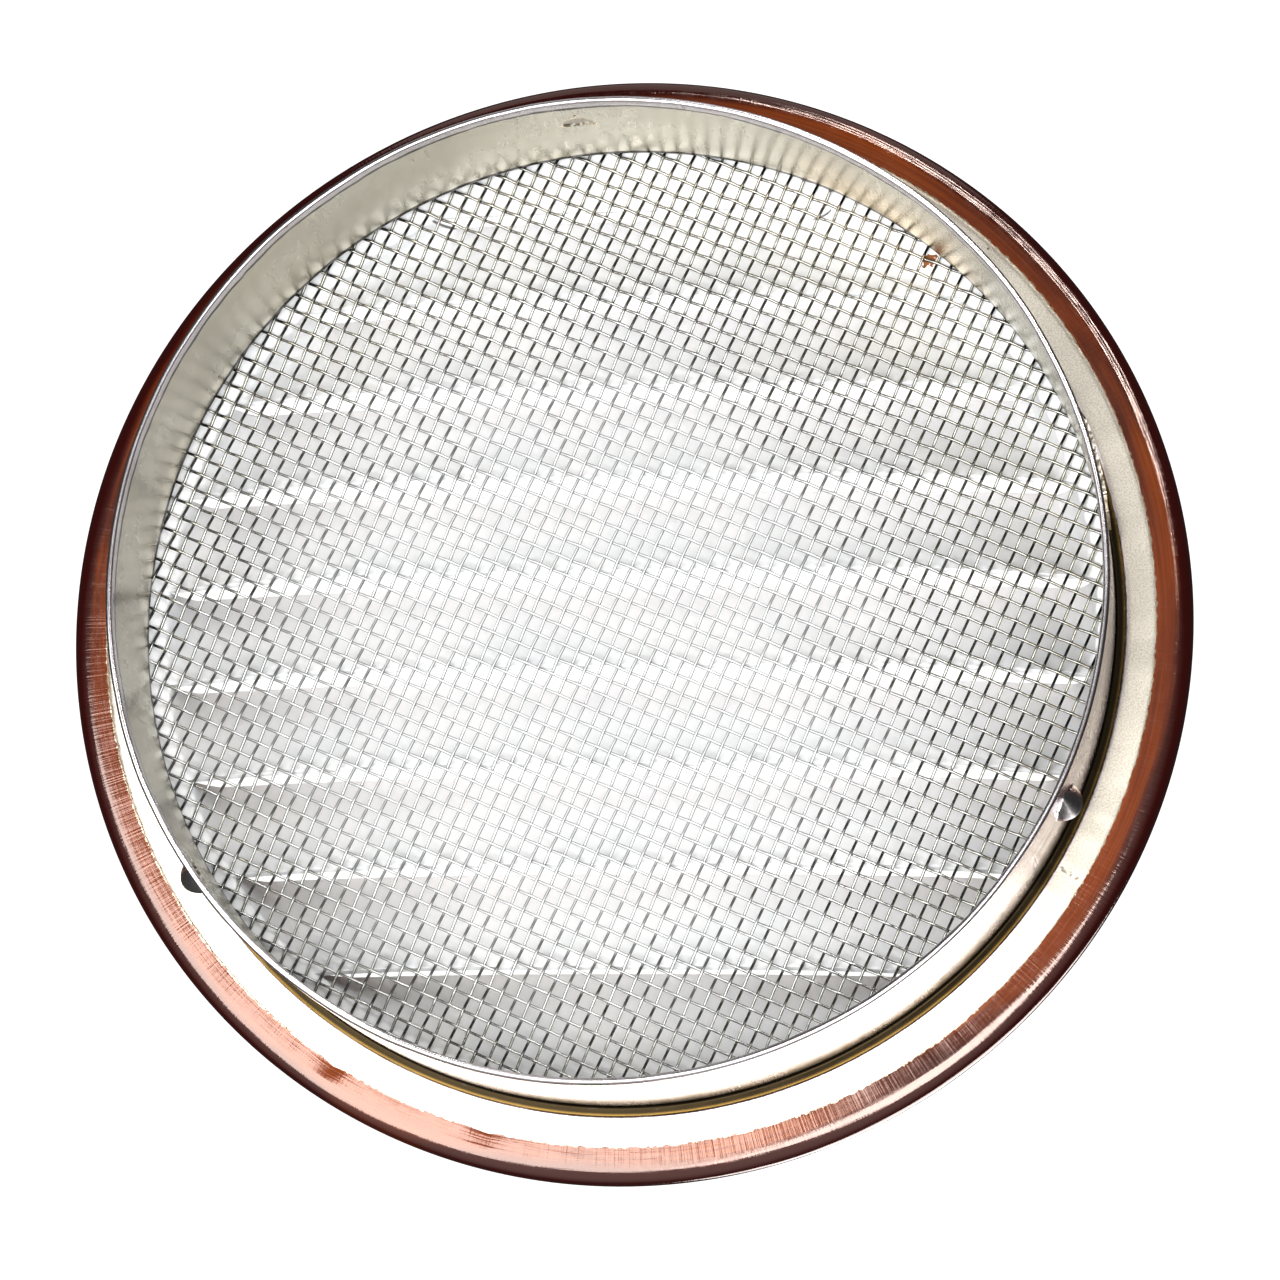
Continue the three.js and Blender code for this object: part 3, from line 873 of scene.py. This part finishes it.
def strip_dirt_and_crease_shade(m, on_flange):
    """Where dark marks sit: dirt with painted shade in short creases across the flange, and small specks of
    dirt.
    """
    crease = m.range(m.around(34.0, 5.0, 0.65), 0.60, 0.68)
    crease = m.math("MULTIPLY", crease, on_flange)
    crease = m.math("MULTIPLY", crease, m.range(m.noise(m.position, 1.6, 2.0), 0.5, 0.6))
    speck = m.add("ShaderNodeTexVoronoi")
    m.put(speck.inputs["Vector"], m.position)
    m.put(speck.inputs["Scale"], 0.33)
    dots = m.range(speck.outputs["Distance"], 0.03, 0.06, 1.0, 0.0)
    dots = m.math("MULTIPLY", dots, m.range(m.noise(m.position, 0.2, 2.0), 0.52, 0.6))
    return m.math("MAXIMUM", m.math("MULTIPLY", crease, 0.7), m.math("MULTIPLY", dots, 0.8))


def strip_painted_shade(m, metal):
    """Lays painted shade, held as values on the mesh, over the metal. It is gilt where the wall meets the
    flange.
    """
    painted_shade = m.add("ShaderNodeAttribute", attribute_name="painted_shade").outputs["Fac"]
    painted_shade = m.math("MULTIPLY", painted_shade, m.range(m.ring_noise(30.0, 3.0), 0.3, 0.7, 0.7, 1.4))
    painted_shade = m.range(painted_shade, 0.15, 0.75)
    low = m.range(m.height, 1.0, 2.0, 1.0, 0.0)
    gilt = m.math("MULTIPLY", m.range(m.radius, GROOVE_RADIUS - 0.5, GROOVE_RADIUS - 0.2), low)
    return m.mix(m.math("MULTIPLY", painted_shade, 0.985), metal, m.mix(gilt, SHADE_BLACK, GROOVE_GILT))


def collar_material(name, dull, bright, warm_reflection_share):
    """Mill-finish strip. dull and bright are the wall's two tones."""
    m = Material(name)
    rolled = m.ring_noise(1.5, 5.0, 4.0)
    axial = m.around(60.0)
    smear = m.noise(m.position, 0.09, 4.0)
    grain = m.noise(m.position, 6.0, 4.0, 0.7)
    on_flange = m.range(m.radius, GROOVE_RADIUS - 0.1, GROOVE_RADIUS + 0.3)
    metal = strip_metal(m, smear, grain, on_flange, dull, bright, warm_reflection_share)
    dark_marks = strip_dirt_and_crease_shade(m, on_flange)
    m.set("Base Color", m.mix(dark_marks, strip_painted_shade(m, metal), STRIP_DIRT_AND_SHADE))
    m.set("Metallic", m.math("SUBTRACT", 1.0, m.math("MULTIPLY", dark_marks, 0.8)))
    smooth = m.math("ADD", m.math("MULTIPLY", axial, 0.3), m.math("MULTIPLY", smear, 0.7))
    rough = m.range(smooth, 0.35, 0.65, 0.24, 0.29)
    m.set("Roughness", m.math("ADD", rough, m.math("MULTIPLY", on_flange, 0.08)))
    fine = m.bump(grain, 0.08, 0.02, m.bump(rolled, 0.10, 0.012))
    m.set("Normal", m.bump(axial, 0.03, 0.03, fine))
    return m.data


def wire_material(name, lit_side, shade_near_collar):
    """Drawn aluminium wire whose flanks carry painted shade. Its core is painted darker towards the collar,
    in the colour of the third argument, and there the slopes that face away from lit_side are painted
    darkest."""
    m = Material(name)
    # reach grows towards the collar, with noise and more towards +X and -Z; the wire is painted darker there.
    uneven = m.math("MULTIPLY", m.math("SUBTRACT", m.noise(m.position, 0.10, 3.0), 0.5), 26.0)
    corner = m.math("SUBTRACT", m.split(m.position, "X"), m.split(m.position, "Z"))
    corner = m.math("MULTIPLY", corner, 0.22)
    reach = m.math("ADD", m.math("ADD", m.radius, uneven), corner)
    collar_shade_share = m.range(reach, 18.0, 52.0)
    grain = m.noise(m.position, 9.0, 2.0)
    normal = m.add("ShaderNodeTexCoord").outputs["Normal"]
    # flank: painted shade on the wire's sides.
    flank = m.range(m.split(normal, "Y"), 0.58, 0.92, 1.0, 0.0)
    slope = m.vector("DOT_PRODUCT", normal, lit_side, output="Value")
    shaded = m.math("MULTIPLY", m.range(slope, -0.20, -0.05, 1.0, 0.0), m.range(reach, 14.0, 34.0))
    shaded_tone = m.mix(m.range(grain, 0.3, 0.7), shade_near_collar, WIRE_GREY)
    core = m.mix(shaded, m.mix(collar_shade_share, WIRE_CENTRE, shaded_tone), WIRE_SHADE)
    dark_marks = m.mix(collar_shade_share, WIRE_FLANK_SHADE_PALE, WIRE_FLANK_SHADE_DARK)
    m.set("Base Color", m.mix(m.math("MULTIPLY", flank, 0.95), core, dark_marks))
    m.set("Metallic", m.range(reach, 14.0, 40.0, 0.45, 1.0))
    rough = m.range(grain, 0.3, 0.7, 0.20, 0.32)
    m.set("Roughness", m.math("ADD", rough, m.range(reach, 14.0, 40.0, 0.22, 0.0)))
    m.set("Normal", m.bump(grain, 0.15, 0.01))
    return m.data


# ------------------------------------------------------------------ camera, light and floor
CAMERA_PLACE = Vector((44.0, 334.6, 71.6)) * MM
CAMERA_AIM = Vector((1.6, -1.5, 2.3)) * MM
CAMERA_UP = Vector((0.0124, 0.2004, -0.9796))
CAMERA_LENS = 99.8
CAMERA_SENSOR = 36
FLOOR_RADIUS = 0.9
FLOOR_Z = -1.6
WORLD_SEEN = 1.15  # strength of the world that the camera sees
WORLD_LIGHT = (0.06, 0.72)  # strength of its darkest and its brightest direction as a light
WORLD_BRIGHT_SIDE = (-0.10, 0.72, 0.69)
WORLD_FADE_START = 0.15  # a direction that leans less than this to the bright side has the least light
TUBE_ALONG = (0.54, 0.19, 0.51)


def make_camera():
    data = bpy.data.cameras.new("camera")
    data.lens = CAMERA_LENS
    data.sensor_width = CAMERA_SENSOR
    camera = bpy.data.objects.new("camera", data)
    bpy.context.scene.collection.objects.link(camera)
    back = (CAMERA_PLACE - CAMERA_AIM).normalized()
    right = CAMERA_UP.cross(back).normalized()
    turn = Matrix((right, back.cross(right), back)).transposed()
    camera.matrix_world = Matrix.Translation(CAMERA_PLACE) @ turn.to_4x4()
    data.clip_start, data.clip_end = 0.01, 20
    bpy.context.scene.camera = camera


def soft_light(name, toward, distance, width, length, radiance, along=(0, 0, 1)):
    """Rectangular light that looks at the object. along is the direction of its length."""
    data = bpy.data.lights.new(name, "AREA")
    data.shape = "RECTANGLE"
    data.size, data.size_y = width, length
    data.energy = radiance * math.pi * width * length
    light = bpy.data.objects.new(name, data)
    back = Vector(toward).normalized()
    side = Vector(along).cross(back).normalized()
    turn = Matrix((side, back.cross(side), back)).transposed()
    light.matrix_world = Matrix.Translation(back * distance) @ turn.to_4x4()
    light.visible_camera = False
    bpy.context.scene.collection.objects.link(light)


def make_world():
    """White behind the vent for the camera. The light itself comes mostly from above and behind."""
    world = bpy.data.worlds.new("studio")
    bpy.context.scene.world = world
    world.use_nodes = True
    tree = world.node_tree
    background = tree.nodes["Background"]
    facing = tree.nodes.new("ShaderNodeTexCoord").outputs["Generated"]
    lean = tree.nodes.new("ShaderNodeVectorMath")
    lean.operation = "DOT_PRODUCT"
    tree.links.new(facing, lean.inputs[0])
    lean.inputs[1].default_value = WORLD_BRIGHT_SIDE
    ramp = tree.nodes.new("ShaderNodeMapRange")
    ramp.interpolation_type = "SMOOTHSTEP"
    ramp.inputs["From Min"].default_value = WORLD_FADE_START
    ramp.inputs["To Min"].default_value, ramp.inputs["To Max"].default_value = WORLD_LIGHT
    tree.links.new(lean.outputs["Value"], ramp.inputs["Value"])
    seen = tree.nodes.new("ShaderNodeLightPath").outputs["Is Camera Ray"]
    mix = tree.nodes.new("ShaderNodeMix")
    tree.links.new(seen, mix.inputs["Factor"])
    tree.links.new(ramp.outputs[0], mix.inputs[2])
    mix.inputs[3].default_value = WORLD_SEEN
    tree.links.new(mix.outputs[0], background.inputs["Strength"])
    background.inputs["Color"].default_value = (1, 1, 1, 1)


def make_floor():
    shape = bmesh.new()
    bmesh.ops.create_circle(shape, cap_ends=True, segments=96, radius=FLOOR_RADIUS)
    mesh = bpy.data.meshes.new("floor")
    shape.to_mesh(mesh)
    shape.free()
    floor = link("floor", mesh)
    floor.location.z = FLOOR_Z
    data = bpy.data.materials.new("floor_white")
    data.use_nodes = True
    shader = data.node_tree.nodes["Principled BSDF"]
    shader.inputs["Base Color"].default_value = (0.94, 0.94, 0.94, 1)
    shader.inputs["Roughness"].default_value = 0.9
    mesh.materials.append(data)


def make_lights():
    """Sizes and distances are in metres. The three tubes give the rim its narrow streaks of light."""
    soft_light("softbox", (-0.38, 0.83, 0.28), 0.8, 0.66, 0.66, 5.4)
    soft_light("fill", (0.27, 0.87, 0.40), 0.9, 0.46, 0.46, 8.2)
    soft_light("front", (0.35, -0.85, 0.55), 0.9, 0.60, 0.50, 4.5)
    for toward in ((0.25, 0.79, -0.55), (0.348, 0.679, -0.645), (0.452, 0.491, -0.744)):
        soft_light("tube", toward, 0.8, 0.026, 0.62, 26.0, TUBE_ALONG)


# ------------------------------------------------------------------ the scene
make_camera()
make_world()
make_floor()
make_lights()

disc_edge = cut_edge_material("hem_edge", BACK_EDGE)
strip_edge = cut_edge_material("strip_edge", STRIP_EDGE)
inside = collar_material("mill_aluminium_inside", INSIDE_DULL, INSIDE_BRIGHT, 0.55)
outside = collar_material("mill_aluminium", OUTSIDE_DULL, OUTSIDE_BRIGHT, 0.0)
close_wire = wire_material("wire_close", ALONG_CLOSE, CLOSE_SHADE_NEAR_COLLAR)
wide_wire = wire_material("wire_wide", BACKWARDS, WIDE_SHADE_NEAR_COLLAR)
louvred_disc = make_disc(back_skin_material(), paint_material(), disc_edge)
vent_collar = make_collar(outside, inside, strip_edge)
collar_lap = make_lap(outside, inside, strip_edge)
close_wires = woven_family("close_wires", CLOSE_PITCH, WIDE_PITCH, CLOTH_ANGLE, 0, close_wire)
wide_wires = woven_family("wide_wires", WIDE_PITCH, CLOSE_PITCH, CLOTH_ANGLE + math.pi / 2, 1, wide_wire)

pieces = [
    (louvred_disc, "louvre_disc", "painted_sheet"),
    (vent_collar, "collar", "collar_sheet"),
    (collar_lap, None, "collar_sheet"),
    (close_wires, "insect_screen", "screen_wire"),
    (wide_wires, "insect_screen", "screen_wire"),
]
for piece, node, slot in pieces:
    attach(piece, "root")
    if node:
        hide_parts(node)

view_settings = bpy.context.scene.view_settings
view_settings.view_transform = "Standard"
view_settings.look = "None"
view_settings.gamma = 0.85
